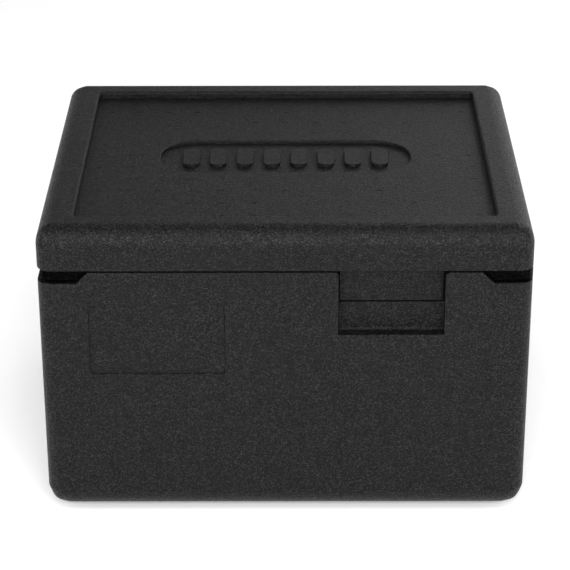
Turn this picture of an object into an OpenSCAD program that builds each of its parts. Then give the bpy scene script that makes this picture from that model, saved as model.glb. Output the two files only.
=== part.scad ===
// Insulated food carrier for one half-size (1/2 GN) food pan, moulded in black expanded polypropylene.
// Two mouldings: an open body and a lift-off lid. The origin is the centre of the footprint, on the
// surface that the carrier stands on. +X runs along the long side, -Y is the front, +Z is up.

/* [Overall] */
// Outside width, along the long side
box_w = 390; // [330:1:480]
// Outside depth, front to back
box_d = 330; // [280:1:410]
// Height over everything, standing with the lid on
box_h = 257; // [215:1:330]
// Radius of the outside corners and edges
edge_r = 16; // [8:0.5:20]
// Thickness of the side walls
wall = 26; // [23:0.5:34]
// Thickness of the floor, stacking foot included
floor_t = 28; // [22:0.5:40]

/* [Lid] */
// Height of the lid's outside face
lid_h = 35.5; // [30:0.5:45]
// Width of the raised border round the top recess
border_w = 28.5; // [24:0.5:40]
// Depth of the top recess
recess_t = 6; // [5:0.5:8]
// Corner radius of the top recess
recess_r = 4; // [2:0.5:12]

/* [Lid seat] */
// Thickness of the rim that stands up from the body's wall
rim_t = 13; // [11:0.5:15]
// Height of the rim above the body's shoulder
rim_rise = 10; // [8:0.5:14]
// Open line between the lid's lower edge and the body's shoulder
seam_gap = 1; // [0.5:0.1:2]
// Side clearance between the rim and the lid's groove
rim_clear = 0.8; // [0.4:0.1:1.5]
// Side clearance between the lid's plug and the cavity
plug_clear = 1; // [0.5:0.1:2]
// How far the plug reaches down into the cavity from the top of the rim
plug_drop = 5; // [3:0.5:5.5]

/* [Tongues] */
// Width of the tongue that hangs from the lid
tongue_w = 81.5; // [60:0.1:90]
// Thickness of the tongue
tongue_t = 8; // [7:0.5:9]
// How far the tongue hangs below the lid's lower edge
tongue_drop = 30.1; // [20:0.1:36]
// Gap round the tongue in its pocket
tongue_clear = 1; // [0.6:0.1:1.6]
// Depth of the pocket in front of the tongue
pocket_t = 10; // [6:0.5:10]
// Height of the finger recess below the tongue
finger_h = 24.4; // [16:0.1:36]
// Distance from the pocket to the near end of the carrier
pocket_in = 69.4; // [50:0.1:80]
// Rounding of the body's corners beside the pocket
pocket_lip_r = 4; // [1:0.5:6]
// Rounding between the finger recess's floor and back
pocket_floor_r = 2.5; // [1:0.5:4]

/* [Corner slots] */
// Length of a slot along each face, at the seam
slot_len = 40.5; // [25:0.5:45]
// Depth of a slot below the body's shoulder
slot_h = 9.5; // [6:0.5:14]
// Depth of a slot into the wall
slot_t = 7.5; // [5:0.5:10]

/* [Label panels] */
// Width of the panel for a label
label_w = 107; // [60:1:110]
// Height of the panel
label_h = 60.7; // [30:0.1:70]
// Depth of the panel
label_t = 1.2; // [0.6:0.1:2]
// Distance from the panel to the near end of the carrier
label_in = 40; // [36:0.1:48]
// Distance from the body's shoulder down to the panel
label_down = 28.8; // [20:0.1:40]
// Corner radius of the panel
label_r = 2.5; // [1:0.5:6]

/* [End grips] */
// Width of the hand grip in each end wall
grip_w = 112; // [90:1:130]
// Height of the hand grip
grip_h = 32; // [24:1:40]
// Depth of the hand grip
grip_t = 12; // [8:0.5:13]
// Distance from the body's shoulder down to the grip
grip_down = 62; // [50:1:80]
// Corner radius of the grip
grip_r = 10; // [4:0.5:12]

/* [Cavity] */
// Radius of the cavity's corners and of its floor edge
cavity_r = 15; // [8:0.5:18]
// Width of the finger recess that lets a hand get under the pan's rim
pan_grip_w = 100; // [80:1:120]
// Depth of that recess
pan_grip_t = 6; // [4:0.5:7]
// How far that recess reaches down from the top of the rim
pan_grip_h = 72; // [50:1:90]

/* [Stacking foot] */
// Height of the foot
foot_h = 4; // [2:0.5:4]
// Gap between the foot and the recess of a lid below it
stack_clear = 2; // [1:0.5:4]

/* [Badge] */
// Length of the shallow badge in the middle of the lid
badge_w = 210; // [120:1:220]
// Width of the badge
badge_d = 69; // [44:1:74]
// Depth of the badge below the recess
badge_t = 2.8; // [1:0.1:3]
// Corner radius of the badge, as far as its width allows
badge_r = 31.7; // [10:0.1:34]
// Number of plain raised bars in the badge, flush with the recess round it
bar_count = 8; // [2:1:9]
// Width of a bar
bar_w = 14; // [8:0.5:16]
// Length of a bar
bar_len = 36; // [20:0.5:38]
// Distance from the first bar's outer side to the last one's
bar_span = 172; // [100:1:176]

/* [Hidden] */
$fn = 64;
foam = "#2b2b2c";
cut = 1; // how far a cut runs past the face that it opens

half_w = box_w / 2;
half_d = box_d / 2;
lid_z = box_h - lid_h; // lower edge of the lid
shoulder_z = lid_z - seam_gap; // top of the body's outer wall
rim_z = shoulder_z + rim_rise; // top of the rim, where the lid rests
recess_z = box_h - recess_t; // floor of the top recess
ceiling_z = rim_z - plug_drop; // underside of the lid's plug
badge_z = recess_z - badge_t; // floor of the badge
badge_corner_r = min(badge_r, badge_d / 2 - 1);

cavity_w = box_w - 2 * wall;
cavity_d = box_d - 2 * wall;
shelf = wall - rim_t; // width of the shoulder outside the rim
rim_w = box_w - 2 * shelf;
rim_d = box_d - 2 * shelf;
rim_r = max(edge_r - shelf, 2);
recess_w = box_w - 2 * border_w;
recess_d = box_d - 2 * border_w;
foot_w = recess_w - 2 * stack_clear; // the foot nests in the recess of a lid below
foot_d = recess_d - 2 * stack_clear;

pocket_w = tongue_w + 2 * tongue_clear;
pocket_x = half_w - pocket_in - pocket_w / 2; // middle of the pocket
tongue_y = -half_d + pocket_t; // front face of the tongue
tongue_z = lid_z - tongue_drop; // lower end of the tongue
ledge_z = tongue_z - tongue_clear; // ledge of the body under the tongue
finger_z = ledge_z - finger_h; // floor of the finger recess
slot_z = shoulder_z - slot_h; // floor of the corner slots
label_x = -half_w + label_in + label_w / 2; // middle of the label panel
label_z = shoulder_z - label_down - label_h / 2;
grip_z = shoulder_z - grip_down - grip_h / 2;
bar_pitch = (bar_span - bar_w) / (bar_count - 1);

// Rectangle with round corners, centred on the origin.
module rounded_plan(w, d, r) {
    square([w - 2 * r, d], center = true);
    square([w, d - 2 * r], center = true);
    for (sx = [-1, 1], sy = [-1, 1])
        translate([sx * (w / 2 - r), sy * (d / 2 - r)]) circle(r = r);
}

// Upright block from z = 0 to h, with round upright corners and a round edge along its top.
module soft_block(w, d, h, r) {
    straight_w = w - 2 * r;
    straight_d = d - 2 * r;
    linear_extrude(h - r) rounded_plan(w, d, r);
    linear_extrude(h) square([straight_w, straight_d], center = true);
    translate([0, 0, h - r]) {
        for (sy = [-1, 1])
            translate([0, sy * straight_d / 2, 0])
                rotate([0, 90, 0]) cylinder(h = straight_w, r = r, center = true);
        for (sx = [-1, 1])
            translate([sx * straight_w / 2, 0, 0])
                rotate([90, 0, 0]) cylinder(h = straight_d, r = r, center = true);
        for (sx = [-1, 1], sy = [-1, 1])
            translate([sx * straight_w / 2, sy * straight_d / 2, 0]) sphere(r = r);
    }
}

// The same block hanging down from z = 0 to -h, with the round edge along its bottom.
module soft_tub(w, d, h, r) {
    mirror([0, 0, 1]) soft_block(w, d, h, r);
}

// Draws its children at the front and again half a turn round, at the back.
module front_and_back() {
    for (turn = [0, 180]) rotate(turn) children();
}

// Panel with round corners cut to a depth t into the front face, centred at x and z.
module front_panel(x, z, w, h, t, r) {
    translate([x, -half_d + t, z])
        rotate([90, 0, 0]) linear_extrude(t + cut) rounded_plan(w, h, r);
}

// Space for the tongue and the fingers below it, cut into the front wall.
module pocket_cut() {
    left_x = pocket_x - pocket_w / 2;
    // Finger recess, with a rounded edge where its floor meets its back
    translate([left_x, -half_d, finger_z])
        rotate([90, 0, 90]) linear_extrude(pocket_w) {
            translate([-cut, pocket_floor_r])
                square([pocket_t + cut, shoulder_z + cut - finger_z - pocket_floor_r]);
            translate([-cut, 0]) square([pocket_t + cut - pocket_floor_r, pocket_floor_r + cut]);
            translate([pocket_t - pocket_floor_r, pocket_floor_r]) circle(r = pocket_floor_r);
        }
    // Seat of the tongue, open upwards through the front half of the rim
    translate([left_x, -half_d - cut, ledge_z])
        cube([pocket_w, pocket_t + tongue_t + tongue_clear + cut, rim_z + cut - ledge_z]);
    // Rounded corners of the outer wall beside the pocket
    for (side = [-1, 1])
        translate([pocket_x + side * pocket_w / 2, -half_d + shelf, shoulder_z])
            rotate([90, 0, 0]) linear_extrude(shelf + cut) difference() {
                translate([0, -pocket_lip_r / 2])
                    square([2 * pocket_lip_r, pocket_lip_r], center = true);
                translate([side * pocket_lip_r, -pocket_lip_r]) circle(r = pocket_lip_r);
            }
}

// Outline of a corner slot seen on a face, with the carrier's end at x = 0 and the inner end at 45 degrees.
module slot_outline() {
    polygon([
        [-cut, slot_z],
        [slot_len - slot_h, slot_z],
        [slot_len + cut, shoulder_z + cut],
        [-cut, shoulder_z + cut]
    ]);
}

// Slot at the left end of the front face, outside the rim.
module straight_slot() {
    translate([-half_w, -half_d + slot_t, 0])
        rotate([90, 0, 0]) linear_extrude(slot_t + cut) slot_outline();
}

// The same slot with a second arm that turns the corner and runs along the end face.
module bent_slot() {
    straight_slot();
    translate([-half_w - cut, -half_d, 0])
        rotate([90, 0, 90]) linear_extrude(slot_t + cut) slot_outline();
}

// The slot at the left of each long face turns the corner, and the one at its right doesn't.
module corner_slots() {
    difference() {
        front_and_back() {
            bent_slot();
            mirror([1, 0, 0]) straight_slot();
        }
        linear_extrude(rim_z) rounded_plan(rim_w, rim_d, rim_r);
    }
}

// Hand grip in the right-hand end wall.
module end_grip() {
    translate([half_w - grip_t, 0, grip_z])
        rotate([90, 0, 90]) linear_extrude(grip_t + cut) rounded_plan(grip_w, grip_h, grip_r);
}

// Recess in the cavity's right-hand wall, open at the top.
module pan_grip() {
    depth = pan_grip_t + cavity_r;
    height = pan_grip_h + cut;
    translate([cavity_w / 2 - cavity_r, 0, rim_z - pan_grip_h])
        rotate([90, 0, 90]) linear_extrude(depth) {
            translate([0, (height + cavity_r) / 2])
                square([pan_grip_w, height - cavity_r], center = true);
            translate([0, height / 2]) square([pan_grip_w - 2 * cavity_r, height], center = true);
            for (side = [-1, 1])
                translate([side * (pan_grip_w / 2 - cavity_r), cavity_r]) circle(r = cavity_r);
        }
}

// Room for the pan, open at the top.
module cavity() {
    translate([0, 0, rim_z + cut])
        soft_tub(cavity_w, cavity_d, rim_z + cut - floor_t, cavity_r);
    front_and_back() pan_grip();
}

module body() {
    color(foam) difference() {
        union() {
            translate([0, 0, shoulder_z]) soft_tub(box_w, box_d, shoulder_z - foot_h, edge_r);
            linear_extrude(floor_t) rounded_plan(foot_w, foot_d, recess_r);
            translate([0, 0, shoulder_z - cut]) linear_extrude(rim_rise + cut)
                rounded_plan(rim_w, rim_d, rim_r);
        }
        cavity();
        corner_slots();
        front_and_back() {
            pocket_cut();
            front_panel(label_x, label_z, label_w, label_h, label_t, label_r);
            end_grip();
        }
    }
}

// Row of plain raised bars with round ends.
module badge_bars() {
    for (i = [0 : bar_count - 1])
        translate([-bar_span / 2 + bar_w / 2 + i * bar_pitch, 0, badge_z - cut])
            linear_extrude(badge_t + cut) rounded_plan(bar_w, bar_len, bar_w / 2 - 1);
}

// Underside of the lid: a groove over the body's rim round a shallow plug.
module lid_hollow() {
    groove_w = rim_w + 2 * rim_clear;
    groove_d = rim_d + 2 * rim_clear;
    translate([0, 0, lid_z - cut]) linear_extrude(ceiling_z - lid_z + cut)
        rounded_plan(groove_w, groove_d, rim_r + rim_clear);
    translate([0, 0, ceiling_z - cut]) linear_extrude(rim_z - ceiling_z + cut) difference() {
        rounded_plan(groove_w, groove_d, rim_r + rim_clear);
        rounded_plan(cavity_w - 2 * plug_clear, cavity_d - 2 * plug_clear, cavity_r - plug_clear);
    }
}

// Tongue that hangs from the lid into the front pocket.
module tongue() {
    translate([pocket_x - tongue_w / 2, tongue_y, tongue_z])
        cube([tongue_w, tongue_t, rim_z + cut - tongue_z]);
}

module lid() {
    color(foam) {
        difference() {
            translate([0, 0, lid_z]) soft_block(box_w, box_d, lid_h, edge_r);
            translate([0, 0, recess_z]) linear_extrude(recess_t + cut)
                rounded_plan(recess_w, recess_d, recess_r);
            translate([0, 0, badge_z]) linear_extrude(badge_t + cut)
                rounded_plan(badge_w, badge_d, badge_corner_r);
            lid_hollow();
        }
        badge_bars();
        front_and_back() tongue();
    }
}

body();
lid();
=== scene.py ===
"""Insulated food carrier: an open box and a lift-off lid, both moulded in black bead foam."""

import math
import random

import bmesh
import bpy
from mathutils import Matrix, Vector


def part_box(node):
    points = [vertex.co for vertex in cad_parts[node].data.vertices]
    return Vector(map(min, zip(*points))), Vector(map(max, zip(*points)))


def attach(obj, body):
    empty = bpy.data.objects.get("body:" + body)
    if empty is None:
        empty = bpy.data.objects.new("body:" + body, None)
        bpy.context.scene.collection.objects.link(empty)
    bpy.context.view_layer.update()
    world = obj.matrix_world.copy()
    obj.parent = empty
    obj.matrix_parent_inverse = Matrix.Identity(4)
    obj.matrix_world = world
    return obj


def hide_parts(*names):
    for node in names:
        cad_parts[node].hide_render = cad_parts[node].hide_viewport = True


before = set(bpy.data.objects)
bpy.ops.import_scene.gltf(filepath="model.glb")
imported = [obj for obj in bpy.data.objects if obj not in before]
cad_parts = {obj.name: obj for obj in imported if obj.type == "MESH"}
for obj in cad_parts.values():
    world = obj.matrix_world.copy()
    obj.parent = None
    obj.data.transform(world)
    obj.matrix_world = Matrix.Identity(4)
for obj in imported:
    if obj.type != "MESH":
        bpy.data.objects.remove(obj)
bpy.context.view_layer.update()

mm = 0.001
tiny = 0.01 * mm
past = 1 * mm  # how far a cutting tool runs past the face that it opens

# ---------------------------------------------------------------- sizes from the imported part
body_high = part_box("body")[1]
lid_low, lid_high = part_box("lid")
half_w = body_high.x
half_d = body_high.y
rim_top = body_high.z
lid_top = lid_high.z
tongue_end = lid_low.z

# ---------------------------------------------------------------- sizes of the mouldings
upright_r = 12 * mm  # upright corners
top_edge_r = 15 * mm
bottom_edge_r = 20 * mm
wall = 26 * mm
floor_t = 28 * mm
foot_h = 4 * mm
foot_r = 4 * mm
foot_root = 8 * mm  # how far the foot's block stops below the floor's face
stack_clear = 2 * mm

rim_t = 13 * mm
rim_rise = 10 * mm
rim_r = 3 * mm
rim_root = 6 * mm  # how far the rim's block reaches below the slots
rim_clear = 0.8 * mm
seam_gap = 1 * mm
plug_clear = 1 * mm
plug_drop = 5 * mm
shoulder = rim_top - rim_rise
lid_edge = shoulder + seam_gap
shelf = wall - rim_t
plug_floor = rim_top - plug_drop

border_w = 28.5 * mm
recess_t = 6 * mm
recess_r = 4 * mm
recess_floor = lid_top - recess_t

cavity_w = half_w - wall
cavity_d = half_d - wall
cavity_r = 15 * mm
pan_grip_w = 100 * mm
pan_grip_t = 6 * mm
pan_grip_h = 72 * mm

tongue_w = 81.5 * mm
tongue_t = 8 * mm
tongue_clear = 1 * mm
pocket_t = 10 * mm
pocket_in = 69.4 * mm
finger_h = 24.4 * mm
pocket_lip_r = 4 * mm
pocket_floor_r = 2.5 * mm
pocket_right = half_w - pocket_in
pocket_left = pocket_right - tongue_w - 2 * tongue_clear
ledge = tongue_end - tongue_clear
finger_floor = ledge - finger_h

slot_len = 40.5 * mm
slot_h = 9.5 * mm
slot_t = 7.5 * mm
slot_edge_gap = 0.5 * mm  # the slots' upper edges stop this far below the shoulder
slot_floor = shoulder - slot_h

label_w = 107 * mm
label_h = 60.7 * mm
label_t = 1.2 * mm
label_in = 40 * mm
label_down = 28.8 * mm
label_r = 2.5 * mm

grip_w = 112 * mm
grip_h = 32 * mm
grip_t = 12 * mm
grip_r = 10 * mm
grip_down = 62 * mm

badge_w = 210 * mm
badge_d = 69 * mm
badge_t = 2.8 * mm
badge_r = 31.7 * mm
badge_floor = recess_floor - badge_t
bar_count = 8
bar_w = 14 * mm
bar_len = 36 * mm
bar_span = 172 * mm
bar_r = 6 * mm

# Small radii on the edges of the mouldings
shoulder_lip_r = 0.8 * mm
slot_lip_r = 0.7 * mm
slot_foot_r = 1.2 * mm
label_lip_r = 1.1 * mm
grip_lip_r = 1.5 * mm
rim_lip_r = 1 * mm
foot_lip_r = 0.8 * mm
lid_lip_r = 0.9 * mm
border_lip_r = 2.6 * mm
badge_lip_r = 1.2 * mm
bar_lip_r = 0.6 * mm
plug_lip_r = 1 * mm
tongue_lip_r = 0.6 * mm

# Angles that tell edges and faces apart
sharp_angle = math.radians(35)
smooth_angle = math.radians(32)
flat_angle = math.radians(0.05)

# Steam vents in the lid's recess
vent_r = 2.6 * mm
vent_depth = 0.16 * mm
vent_step_x = 25.7 * mm
vent_step_y = 25 * mm
vent_sides = 14
vent_stray = 1 * mm
vent_low = -0.3  # lowest and highest place of a vent's middle, in vent depths
vent_high = 0.8
vent_seed = 4
vent_across = 6  # vents each side of the middle one, along the lid
vent_deep = 5  # and front to back


# ---------------------------------------------------------------- hand tools
def take(piece):
    """Picks up one piece and puts down everything else."""
    bpy.ops.object.select_all(action="DESELECT")
    piece.select_set(True)
    bpy.context.view_layer.objects.active = piece


def block(name, x, y, z):
    """Adds a solid block between two places along each axis."""
    bpy.ops.object.select_all(action="DESELECT")
    bpy.ops.mesh.primitive_cube_add(
        size=1,
        location=(sum(x) / 2, sum(y) / 2, sum(z) / 2),
        scale=(x[1] - x[0], y[1] - y[0], z[1] - z[0]),
    )
    piece = bpy.context.object
    piece.name = piece.data.name = name
    bpy.ops.object.transform_apply(location=True, rotation=True, scale=True)
    return piece


def runs_along(axis):
    """Test for an edge that runs along x, y or z."""
    across = [i for i in range(3) if i != axis]
    return lambda edge: all(abs(edge.verts[0].co[i] - edge.verts[1].co[i]) < tiny for i in across)


def lies_at(axis, place):
    """Test for an edge that lies in a plane across x, y or z."""
    return lambda edge: all(abs(end.co[axis] - place) < tiny for end in edge.verts)


def is_sharp(edge):
    """Test for an edge where two faces meet at a clear angle."""
    return len(edge.link_faces) == 2 and edge.calc_face_angle(0) > sharp_angle


def pick_edges(piece, wanted):
    """Selects the edges that pass the test, and stays in edit mode."""
    take(piece)
    bpy.ops.object.mode_set(mode="EDIT")
    bpy.ops.mesh.select_mode(type="EDGE")
    bpy.ops.mesh.select_all(action="DESELECT")
    mesh = bmesh.from_edit_mesh(piece.data)
    for edge in [edge for edge in mesh.edges if wanted(edge)]:
        edge.select_set(True)
    bmesh.update_edit_mesh(piece.data)


def round_edges(piece, wanted, radius, steps):
    """Rounds the edges that pass the test."""
    pick_edges(piece, wanted)
    bpy.ops.mesh.bevel(offset=radius, segments=steps, affect="EDGES", clamp_overlap=False)
    bpy.ops.object.mode_set(mode="OBJECT")


def round_corners(piece, edge_test, edge_r, corner_r, steps):
    """Rounds a rim of edges and the upright edges that run into it, each with its own radius."""
    for wanted, share in ((edge_test, 1), (runs_along(2), corner_r / edge_r)):
        pick_edges(piece, wanted)
        bpy.ops.transform.edge_bevelweight(value=share)
        bpy.ops.object.mode_set(mode="OBJECT")
    bpy.ops.object.modifier_add(type="BEVEL")
    change = piece.modifiers[-1]
    change.limit_method = "WEIGHT"
    change.width = edge_r
    change.segments = steps
    change.use_clamp_overlap = False
    bpy.ops.object.modifier_apply(modifier=change.name)


def slide_edges(piece, wanted, way):
    """Moves the edges that pass the test, as one."""
    pick_edges(piece, wanted)
    bpy.ops.transform.translate(value=way)
    bpy.ops.object.mode_set(mode="OBJECT")


def clean_faces(piece):
    """Merges doubled points and flat faces that lie in one plane."""
    take(piece)
    bpy.ops.object.mode_set(mode="EDIT")
    bpy.ops.mesh.select_all(action="SELECT")
    bpy.ops.mesh.remove_doubles(threshold=0.5 * tiny)
    bpy.ops.mesh.dissolve_limited(angle_limit=flat_angle)
    bpy.ops.object.mode_set(mode="OBJECT")


def work_on(piece, tool, how):
    """Cuts a tool from a piece or joins it on, and uses the tool up."""
    take(piece)
    bpy.ops.object.modifier_add(type="BOOLEAN")
    change = piece.modifiers[-1]
    change.operation = how
    change.object = tool
    change.solver = "EXACT"
    bpy.ops.object.modifier_apply(modifier=change.name)
    bpy.data.objects.remove(tool)
    clean_faces(piece)


def carve(piece, *tools):
    """Cuts each tool from a piece."""
    for tool in tools:
        work_on(piece, tool, "DIFFERENCE")


def weld_on(piece, *tools):
    """Joins each tool on to a piece."""
    for tool in tools:
        work_on(piece, tool, "UNION")


def half_turn(tool):
    """Copies a tool half a turn round, for the back or the other end."""
    take(tool)
    bpy.ops.object.duplicate()
    copy = bpy.context.object
    copy.rotation_euler.z = math.pi
    bpy.ops.object.transform_apply(location=True, rotation=True, scale=True)
    return copy


def pillow(name, x, y, z, radius, steps):
    """Adds a block with round upright edges."""
    piece = block(name, x, y, z)
    round_edges(piece, runs_along(2), radius, steps)
    return piece


def mirrored(half):
    """The two places of a size that is centred on the middle."""
    return (-half, half)


# ---------------------------------------------------------------- the open box
def finger_tool():
    """Shape of the finger recess in the front, below the tongue."""
    fingers = block(
        "finger_recess",
        (pocket_left, pocket_right),
        (-half_d - past, -half_d + pocket_t),
        (finger_floor, shoulder + past),
    )
    round_edges(
        fingers,
        lambda edge: lies_at(2, finger_floor)(edge) and lies_at(1, -half_d + pocket_t)(edge),
        pocket_floor_r,
        steps=5,
    )
    return fingers


def seat_tool():
    """Shape of the seat of the front tongue."""
    return block(
        "tongue_seat",
        (pocket_left, pocket_right),
        (-half_d - past, -half_d + pocket_t + tongue_t + tongue_clear),
        (ledge, rim_top + past),
    )


def slot_tool(side_x, side_y, along):
    """Shape of a corner slot: along is 0 on the long faces and 1 on the ends."""
    half = (half_w, half_d)
    side = (side_x, side_y)
    across = 1 - along
    inner = half[along] - slot_len - past
    back = half[across] - slot_t
    spans = [None, None]
    spans[along] = sorted((side[along] * inner, side[along] * (half[along] + past)))
    spans[across] = sorted((side[across] * back, side[across] * (half[across] + past)))
    tool = block("corner_slot", spans[0], spans[1], (slot_floor, shoulder + past))
    way = [0, 0, 0]
    way[along] = side[along] * (slot_h + past)
    slide_edges(
        tool,
        lambda edge: lies_at(2, slot_floor)(edge) and lies_at(along, side[along] * inner)(edge),
        way,
    )
    return tool


def pocket_corner(place):
    """Test for the edges where the shoulder meets one side of a pocket."""
    return lambda edge: lies_at(0, place)(edge) and lies_at(2, shoulder)(edge) and runs_along(1)(edge)


def pocket_lip(edge):
    """Test for the edges round the shoulder and the pockets."""
    outside = lies_at(2, shoulder)(edge) or lies_at(1, half_d)(edge) or lies_at(1, -half_d)(edge)
    return outside and is_sharp(edge)


def slot_lip(edge):
    """Test for the outer edges of the corner slots."""
    below_lip = shoulder - slot_edge_gap
    corner_start = half_w - slot_len - 2 * past
    for end in edge.verts:
        x, y, z = abs(end.co.x), abs(end.co.y), end.co.z
        on_face = x > half_w - slot_t + tiny or y > half_d - slot_t + tiny
        if not (on_face and slot_floor - tiny < z < below_lip and x > corner_start):
            return False
    return is_sharp(edge)


def slot_foot(edge):
    """Test for the edges where a slot's floor meets its back."""
    backs = [(axis, side * (half - slot_t)) for axis, half in enumerate((half_w, half_d)) for side in (-1, 1)]
    at_back = any(lies_at(axis, place)(edge) for axis, place in backs)
    return lies_at(2, slot_floor)(edge) and at_back and is_sharp(edge)


def make_box():
    """Models the open box: walls, pockets, slots, panels, grips, rim, foot and room for the pan."""
    shell = block("carrier_shell", mirrored(half_w), mirrored(half_d), (foot_h, shoulder))
    round_corners(shell, lies_at(2, foot_h), bottom_edge_r, upright_r, steps=12)

    # Pockets: the shelf's corners beside them are well rounded
    for tool in (finger_tool(), seat_tool()):
        carve(shell, half_turn(tool), tool)
    for facing in (1, -1):
        for side in (pocket_left, pocket_right):
            round_edges(shell, pocket_corner(facing * side), pocket_lip_r, steps=5)
    round_edges(shell, pocket_lip, shoulder_lip_r, steps=2)

    # Corner slots: the one at the left of each long face turns the corner
    for facing in (-1, 1):
        turned = slot_tool(facing, facing, 0)
        straight = slot_tool(-facing, facing, 0)
        round_the_corner = slot_tool(facing, facing, 1)
        carve(shell, turned, straight, round_the_corner)
    round_edges(shell, slot_lip, slot_lip_r, steps=2)
    round_edges(shell, slot_foot, slot_foot_r, steps=3)

    # Label panels
    low = shoulder - label_down - label_h
    panel = block(
        "label_panel",
        (-half_w + label_in, -half_w + label_in + label_w),
        (-half_d - past, -half_d + label_t),
        (low, low + label_h),
    )
    round_edges(panel, runs_along(1), label_r, steps=5)
    carve(shell, half_turn(panel), panel)
    round_edges(shell, label_lip, label_lip_r, steps=4)

    # Hand grips in the ends
    middle = shoulder - grip_down - grip_h / 2
    grip = block(
        "end_grip",
        (half_w - grip_t, half_w + past),
        mirrored(grip_w / 2),
        (middle - grip_h / 2, middle + grip_h / 2),
    )
    round_edges(grip, runs_along(0), grip_r, steps=8)
    carve(shell, half_turn(grip), grip)
    round_edges(shell, lambda edge: is_sharp(edge) and on_end_face(edge), grip_lip_r, steps=3)

    # Rim, with the seats of the tongues cut through it
    rim = pillow(
        "rim",
        mirrored(half_w - shelf),
        mirrored(half_d - shelf),
        (slot_floor - rim_root, rim_top),
        rim_r,
        steps=4,
    )
    round_edges(rim, lies_at(2, rim_top), rim_lip_r, steps=2)
    seat = seat_tool()
    carve(rim, half_turn(seat), seat)
    weld_on(shell, rim)

    # Stacking foot
    foot = pillow(
        "foot",
        mirrored(half_w - border_w - stack_clear),
        mirrored(half_d - border_w - stack_clear),
        (0, floor_t - foot_root),
        foot_r,
        steps=5,
    )
    round_edges(foot, lies_at(2, 0), foot_lip_r, steps=2)
    weld_on(shell, foot)

    # Room for the pan, with a finger recess in each end wall
    room = block("pan_room", mirrored(cavity_w), mirrored(cavity_d), (floor_t, rim_top + past))
    round_edges(room, lambda edge: runs_along(2)(edge) or lies_at(2, floor_t)(edge), cavity_r, steps=8)
    recess = block(
        "pan_grip",
        (cavity_w - cavity_r, cavity_w + pan_grip_t),
        mirrored(pan_grip_w / 2),
        (rim_top - pan_grip_h, rim_top + past),
    )
    round_edges(
        recess,
        lambda edge: runs_along(0)(edge) and lies_at(2, rim_top - pan_grip_h)(edge),
        cavity_r,
        steps=8,
    )
    weld_on(room, half_turn(recess), recess)
    carve(shell, room)
    return shell


def label_lip(edge):
    """Test for the outer edges of the label panels."""
    middle = half_w - label_in - label_w / 2
    low = shoulder - label_down - label_h
    return all(
        abs(abs(end.co.y) - half_d) < tiny
        and abs(end.co.x - middle * (1 if end.co.y > 0 else -1)) < label_w / 2 + tiny
        and low - tiny < end.co.z < low + label_h + tiny
        for end in edge.verts
    )


def on_end_face(edge):
    """Test for an edge that lies in the flat of an end wall."""
    return all(abs(abs(end.co.x) - half_w) < tiny and abs(end.co.y) < grip_w / 2 + past for end in edge.verts)


# ---------------------------------------------------------------- the lid
def make_lid():
    """Models the lid: cover, recess, badge with its bars, vents, underside and tongues."""
    cover = block("lid_cover", mirrored(half_w), mirrored(half_d), (lid_edge, lid_top))
    round_corners(cover, lies_at(2, lid_top), top_edge_r, upright_r, steps=12)
    round_edges(cover, lies_at(2, lid_edge), lid_lip_r, steps=2)

    recess = pillow(
        "top_recess",
        mirrored(half_w - border_w),
        mirrored(half_d - border_w),
        (recess_floor, lid_top + past),
        recess_r,
        steps=6,
    )
    carve(cover, recess)
    round_edges(cover, lambda edge: lies_at(2, lid_top)(edge) and is_sharp(edge), border_lip_r, steps=5)

    badge = pillow(
        "badge",
        mirrored(badge_w / 2),
        mirrored(badge_d / 2),
        (badge_floor, recess_floor + past),
        badge_r,
        steps=24,
    )
    carve(cover, badge)
    round_edges(cover, badge_lip, badge_lip_r, steps=3)

    # Plain bars stand in the badge, flush with the recess's floor
    pitch = (bar_span - bar_w) / (bar_count - 1)
    for number in range(bar_count):
        centre = -bar_span / 2 + bar_w / 2 + number * pitch
        bar = pillow(
            "badge_bar",
            (centre - bar_w / 2, centre + bar_w / 2),
            mirrored(bar_len / 2),
            (badge_floor - past, recess_floor),
            bar_r,
            steps=8,
        )
        round_edges(bar, lies_at(2, recess_floor), bar_lip_r, steps=2)
        weld_on(cover, bar)

    carve(cover, vent_tool())

    # Underside: a groove over the box's rim round a shallow plug
    hollow = pillow(
        "groove",
        mirrored(half_w - shelf + rim_clear),
        mirrored(half_d - shelf + rim_clear),
        (lid_edge - past, rim_top),
        rim_r + rim_clear,
        steps=5,
    )
    plug = pillow(
        "plug",
        mirrored(cavity_w - plug_clear),
        mirrored(cavity_d - plug_clear),
        (plug_floor, rim_top + past),
        cavity_r - plug_clear,
        steps=6,
    )
    round_edges(plug, lies_at(2, plug_floor), plug_lip_r, steps=2)
    carve(hollow, plug)
    carve(cover, hollow)

    tongue = block(
        "tongue",
        (pocket_left + tongue_clear, pocket_right - tongue_clear),
        (-half_d + pocket_t, -half_d + pocket_t + tongue_t),
        (tongue_end, rim_top + past),
    )
    round_edges(tongue, lies_at(2, tongue_end), tongue_lip_r, steps=2)
    weld_on(cover, half_turn(tongue), tongue)
    return cover


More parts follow.
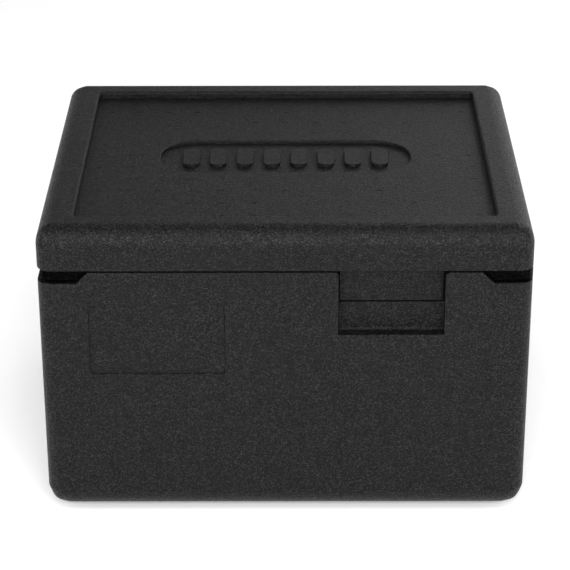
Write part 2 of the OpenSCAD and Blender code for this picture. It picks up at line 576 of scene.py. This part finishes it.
def vent_tool():
    """One tool with all the small round steam vents of the top recess."""
    wobble = random.Random(vent_seed)
    bpy.ops.object.select_all(action="DESELECT")
    bpy.ops.mesh.primitive_cylinder_add(
        vertices=vent_sides, radius=vent_r, depth=2 * vent_depth, location=(0, 0, recess_floor)
    )
    first = bpy.context.object
    first.name = first.data.name = "steam_vents"
    bpy.ops.object.transform_apply(location=True, rotation=True, scale=True)
    copies = []
    for column in range(-vent_across, vent_across + 1):
        for row in range(-vent_deep, vent_deep + 1):
            x = column * vent_step_x + wobble.uniform(-1, 1) * vent_stray
            y = row * vent_step_y + wobble.uniform(-1, 1) * vent_stray
            if abs(x) < badge_w / 2 + 3 * vent_r and abs(y) < badge_d / 2 + 2 * vent_r:
                continue
            take(first)
            bpy.ops.object.duplicate()
            copy = bpy.context.object
            copy.location = (x, y, wobble.uniform(vent_low, vent_high) * vent_depth)
            copies.append(copy)
    bpy.data.objects.remove(first)
    bpy.ops.object.select_all(action="DESELECT")
    for copy in copies:
        copy.select_set(True)
    bpy.context.view_layer.objects.active = copies[0]
    bpy.ops.object.join()
    bpy.ops.object.transform_apply(location=True, rotation=True, scale=True)
    return bpy.context.object


def badge_lip(edge):
    """Test for the badge's upper edge."""
    in_badge = all(
        abs(end.co.x) < badge_w / 2 + past and abs(end.co.y) < badge_d / 2 + past
        for end in edge.verts
    )
    return lies_at(2, recess_floor)(edge) and in_badge and is_sharp(edge)


# ---------------------------------------------------------------- bead foam
foam_tone = 0.0047
bead_size = 3.2 * mm
grain_size = 0.85 * mm
grain_contrast = 0.9
grain_relief = 0.50 * mm
cloud_size = 38 * mm
speck_size = 1.5 * mm
seam_width = 0.16  # of a bead

bead_tones = 0.36, 0.82  # each pair is the spread and the lowest value
cloud_tones = 0.30, 0.85
seam_tones = 0.20, 0.82
# painted glints: bright specks added to the foam's colour
painted_glint_tone = 3.8
glint_from, glint_to = 0.62, 0.74
blue_tint = 1.03

# margin of the corner wear and of the painted edge highlight
wear_and_highlight_margin = 20 * mm
wear_spread = 0.5, 0.1
corner_rub = 0.9
# painted highlight on the round of the lid's top edge
painted_edge_highlight = 0.8
painted_edge_highlight_spread = 0.6, 0.6
# painted shade inside the corner slots
painted_slot_shade = 0.8

scuff_at_x = 177 * mm
scuff_at_z = 96 * mm
scuff_w = 16 * mm
scuff_h = 1.2 * mm
scuff_tone = 2.2
scuff_depth = 2 * mm  # the scuff has faded out this far behind the front face
scuff_from, scuff_to = 0.35, 0.8  # own values of the grains that it touches

foam_ior = 1.45
gloss = 0.157
dull_roughness = 0.50
grain_polish = 0.22
glint_polish = 0.10

bead_height = 0.30
seam_height = 0.12
grain_heights = 0.6, 0.4


def bead_foam(name):
    """Black bead foam: pressed beads a few millimetres across, with a fine sparkling grain."""
    foam = bpy.data.materials.new(name)
    foam.use_nodes = True
    tree = foam.node_tree
    tree.nodes.clear()

    def node(kind, **settings):
        made = tree.nodes.new(kind)
        for setting, value in settings.items():
            setattr(made, setting, value)
        return made

    def join(source, target, socket):
        tree.links.new(source, target.inputs[socket])

    def sums(operation, first, second=None, third=None):
        made = node("ShaderNodeMath", operation=operation)
        for number, value in enumerate((first, second, third)):
            if value is None:
                continue
            if isinstance(value, (int, float)):
                made.inputs[number].default_value = value
            else:
                join(value, made, number)
        return made.outputs[0]

    def spread(value, tones):
        return sums("MULTIPLY_ADD", value, *tones)

    def ramp(value, low, high):
        made = node("ShaderNodeMapRange", interpolation_type="SMOOTHSTEP")
        join(value, made, "Value")
        made.inputs["From Min"].default_value = low
        made.inputs["From Max"].default_value = high
        return made.outputs["Result"]

    place = node("ShaderNodeTexCoord").outputs["Object"]
    shader = node("ShaderNodeBsdfPrincipled")
    out = node("ShaderNodeOutputMaterial")
    join(shader.outputs["BSDF"], out, "Surface")

    def noise(size, detail, roughness):
        made = node("ShaderNodeTexNoise")
        join(place, made, "Vector")
        made.inputs["Scale"].default_value = 1 / size
        made.inputs["Detail"].default_value = detail
        made.inputs["Roughness"].default_value = roughness
        return made.outputs["Fac"]

    def cells(size, feature="F1"):
        made = node("ShaderNodeTexVoronoi", feature=feature)
        join(place, made, "Vector")
        made.inputs["Scale"].default_value = 1 / size
        return made

    def own_value(source):
        parts = node("ShaderNodeSeparateColor")
        join(source.outputs["Color"], parts, "Color")
        return parts.outputs["Red"]

    beads = cells(bead_size)
    seams = cells(bead_size, "DISTANCE_TO_EDGE").outputs["Distance"]
    grain = cells(grain_size)
    grain_value = own_value(grain)
    cloud = noise(cloud_size, detail=3.0, roughness=0.55)
    speck = noise(speck_size, detail=2.0, roughness=0.6)
    glint = ramp(speck, glint_from, glint_to)
    seam = ramp(seams, 0.0, seam_width)

    # Colour: each bead and each grain has its own tone; painted glints add a few bright specks; the seams are
    # darker
    bead = spread(own_value(beads), bead_tones)
    peak = 4  # the cube of an even spread has a mean of a quarter
    grain_tones = peak * grain_contrast, 1 - grain_contrast
    grainy = spread(sums("POWER", grain_value, 3.0), grain_tones)
    slow = spread(cloud, cloud_tones)
    seam_tone = spread(seam, seam_tones)
    level = sums("MULTIPLY", sums("MULTIPLY", bead, grainy), sums("MULTIPLY", slow, seam_tone))
    # painted glints: bright specks added to the colour
    level = sums("ADD", level, sums("MULTIPLY", glint, painted_glint_tone))

    # Wear: the upright corners are rubbed slightly lighter
    axes = node("ShaderNodeSeparateXYZ")
    join(place, axes, "Vector")
    off_middle_x = sums("ABSOLUTE", axes.outputs["X"])
    off_middle_y = sums("ABSOLUTE", axes.outputs["Y"])
    end_side = ramp(off_middle_x, half_w - wear_and_highlight_margin, half_w)
    long_side = ramp(off_middle_y, half_d - wear_and_highlight_margin, half_d)
    corner = sums("MULTIPLY", end_side, long_side)
    wear = sums("MULTIPLY", corner, spread(cloud, wear_spread))
    level = sums("MULTIPLY", level, sums("MULTIPLY_ADD", wear, corner_rub, 1.0))

    # Painted highlight: the round of the lid's top edge is made lighter, standing in for the light it catches
    top_side = sums("MAXIMUM", end_side, long_side)
    top_round = sums(
        "MULTIPLY",
        ramp(axes.outputs["Z"], lid_top - top_edge_r - 2 * mm, lid_top - 0.6 * top_edge_r),
        ramp(axes.outputs["Z"], lid_top - 0.2 * top_edge_r, lid_top - 0.45 * top_edge_r),
    )
    edge_highlight_mask = sums("MULTIPLY", top_side, sums("MULTIPLY", top_round, spread(cloud, painted_edge_highlight_spread)))
    level = sums("MULTIPLY", level, sums("MULTIPLY_ADD", edge_highlight_mask, painted_edge_highlight, 1.0))

    # Painted shade: the insides of the corner slots are darkened, in colour and in gloss
    inward = sums(
        "MINIMUM",
        sums("SUBTRACT", half_w, off_middle_x),
        sums("SUBTRACT", half_d, off_middle_y),
    )
    in_depth = sums(
        "MULTIPLY", ramp(inward, slot_t / 6, slot_t / 2), ramp(inward, shelf - past, slot_t + past)
    )
    in_height = sums(
        "MULTIPLY",
        ramp(axes.outputs["Z"], slot_floor - slot_edge_gap, slot_floor),
        ramp(axes.outputs["Z"], shoulder + slot_edge_gap, shoulder),
    )
    near_corner = ramp(off_middle_x, half_w - slot_len - 4 * mm, half_w - slot_len + 2 * mm)
    slot_shade_mask = sums("MULTIPLY", near_corner, sums("MULTIPLY", in_depth, in_height))
    unshaded_share = sums("MULTIPLY_ADD", slot_shade_mask, -painted_slot_shade, 1.0)
    level = sums("MULTIPLY", level, unshaded_share)

    # A short scuff low on the right of the front
    off_scuff_x = sums("ABSOLUTE", sums("SUBTRACT", axes.outputs["X"], scuff_at_x))
    off_scuff_z = sums("ABSOLUTE", sums("SUBTRACT", axes.outputs["Z"], scuff_at_z))
    scuff_x = ramp(off_scuff_x, scuff_w / 2, scuff_w / 4)
    scuff_z = ramp(off_scuff_z, scuff_h, scuff_h / 3)
    scuff_y = ramp(axes.outputs["Y"], -half_d + scuff_depth, -half_d + scuff_depth / 2)
    rubbed_grains = ramp(grain_value, scuff_from, scuff_to)
    scuff = sums("MULTIPLY", sums("MULTIPLY", scuff_x, scuff_z), sums("MULTIPLY", scuff_y, rubbed_grains))
    level = sums("ADD", level, sums("MULTIPLY", scuff, scuff_tone))

    colour = node("ShaderNodeCombineColor")
    for channel, share in (("Red", 1.0), ("Green", 1.0), ("Blue", blue_tint)):
        join(sums("MULTIPLY", level, foam_tone * share), colour, channel)
    join(colour.outputs["Color"], shader, "Base Color")

    # Gloss: the lighter grains and the glints are smoother
    rough = spread(grain_value, (-grain_polish, dull_roughness))
    rough = sums("SUBTRACT", rough, sums("MULTIPLY", glint, glint_polish))
    join(rough, shader, "Roughness")
    shader.inputs["IOR"].default_value = foam_ior
    # the painted slot shade lowers the gloss inside the slots too
    join(sums("MULTIPLY", unshaded_share, gloss), shader, "Specular IOR Level")

    # Relief: low domes for the beads, sharper tips for the grain
    from_middle = beads.outputs["Distance"]
    dome = sums("SUBTRACT", 1.0, sums("MULTIPLY", from_middle, from_middle))
    tip = sums("SUBTRACT", 1.0, grain.outputs["Distance"])
    height = sums("MULTIPLY", tip, spread(grain_value, grain_heights))
    height = sums("MULTIPLY_ADD", dome, bead_height, height)
    height = sums("MULTIPLY_ADD", seam, seam_height, height)
    bump = node("ShaderNodeBump")
    join(height, bump, "Height")
    bump.inputs["Strength"].default_value = 1.0
    bump.inputs["Distance"].default_value = grain_relief
    join(bump.outputs["Normal"], shader, "Normal")
    return foam


def finish_piece(piece, body, node, material):
    """Gives a piece its foam and smooth shading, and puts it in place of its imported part."""
    piece.data.materials.clear()
    piece.data.materials.append(material)
    take(piece)
    bpy.ops.object.shade_smooth_by_angle(angle=smooth_angle)
    bpy.ops.object.modifier_add(type="WEIGHTED_NORMAL")
    change = piece.modifiers[-1]
    change.weight = 100  # the largest faces lead, so that flats stay flat
    change.keep_sharp = True
    bpy.ops.object.modifier_apply(modifier=change.name)
    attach(piece, body)
    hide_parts(node)


# ---------------------------------------------------------------- studio
floor_size = 12
floor_grey = 0.93
floor_roughness = 0.9
floor_glow = 0.08
air_glow = 0.42


def make_studio():
    """Adds a plain pale floor and an even glow all round."""
    bpy.ops.object.select_all(action="DESELECT")
    bpy.ops.mesh.primitive_plane_add(size=floor_size, location=(0, 0, 0))
    floor = bpy.context.object
    floor.name = "studio_floor"
    paint = bpy.data.materials.new("pale_floor")
    paint.use_nodes = True
    sockets = paint.node_tree.nodes["Principled BSDF"].inputs
    sockets["Base Color"].default_value = (floor_grey, floor_grey, floor_grey, 1)
    sockets["Roughness"].default_value = floor_roughness
    sockets["Emission Color"].default_value = (1, 1, 1, 1)
    sockets["Emission Strength"].default_value = floor_glow
    floor.data.materials.append(paint)

    world = bpy.data.worlds.new("studio_air")
    world.use_nodes = True
    sockets = world.node_tree.nodes["Background"].inputs
    sockets["Color"].default_value = (1, 1, 1, 1)
    sockets["Strength"].default_value = air_glow
    bpy.context.scene.world = world


def panel_light(name, place, aim, size, power):
    """Adds a soft oblong light, aimed at a place on the carrier."""
    data = bpy.data.lights.new(name, "AREA")
    data.shape = "RECTANGLE"
    data.size, data.size_y = size
    data.energy = power
    lamp = bpy.data.objects.new(name, data)
    bpy.context.scene.collection.objects.link(lamp)
    lamp.location = place
    lamp.rotation_euler = (Vector(aim) - Vector(place)).to_track_quat("-Z", "Y").to_euler()
    return lamp


camera_aim = 130.5 * mm  # height of the place that the camera looks at
camera_distance = 1900.82 * mm
camera_rise = math.radians(25.7055)
camera_turn = math.radians(0.183)
camera_roll = math.radians(-0.156)
camera_lens = 138.6086  # these two in millimetres on the sensor, as the camera takes them
camera_sensor = 36
camera_shift = -0.0013


def make_camera():
    """Adds a long-lens camera in front of the carrier and above it."""
    aim = Vector((0, 0, camera_aim))
    level = math.cos(camera_rise)
    away = Vector(
        (math.sin(camera_turn) * level, -math.cos(camera_turn) * level, math.sin(camera_rise))
    )
    data = bpy.data.cameras.new("studio_camera")
    data.sensor_width = camera_sensor
    data.lens = camera_lens
    data.shift_x = camera_shift
    camera = bpy.data.objects.new("studio_camera", data)
    bpy.context.scene.collection.objects.link(camera)
    camera.location = aim + away * camera_distance
    look = (-away).to_track_quat("-Z", "Y")
    camera.rotation_euler = (look.to_matrix() @ Matrix.Rotation(camera_roll, 3, "Z")).to_euler()
    bpy.context.scene.camera = camera


make_camera()
shell = make_box()
cover = make_lid()
finish_piece(shell, "carrier_body", "body", bead_foam("box_bead_foam"))
finish_piece(cover, "carrier_lid", "lid", bead_foam("lid_bead_foam"))
make_studio()
middle = (0, 0, 0.1)
panel_light("key_panel", place=(0.1, -1.35, 2.4), aim=middle, size=(2.2, 1.1), power=28)
panel_light("front_panel", place=(0.1, -2.3, 1.35), aim=(0, 0, 0.12), size=(2.4, 0.9), power=82)
panel_light("left_panel", place=(-2.2, -0.6, 1.3), aim=middle, size=(1.4, 1.6), power=13)
panel_light("right_panel", place=(2.2, -0.3, 1.3), aim=middle, size=(1.4, 1.6), power=13)
panel_light("back_panel", place=(1.3, 2.4, 1.2), aim=(0, 0, 0.25), size=(1.6, 1.0), power=15)
bpy.context.scene.view_settings.view_transform = "Standard"
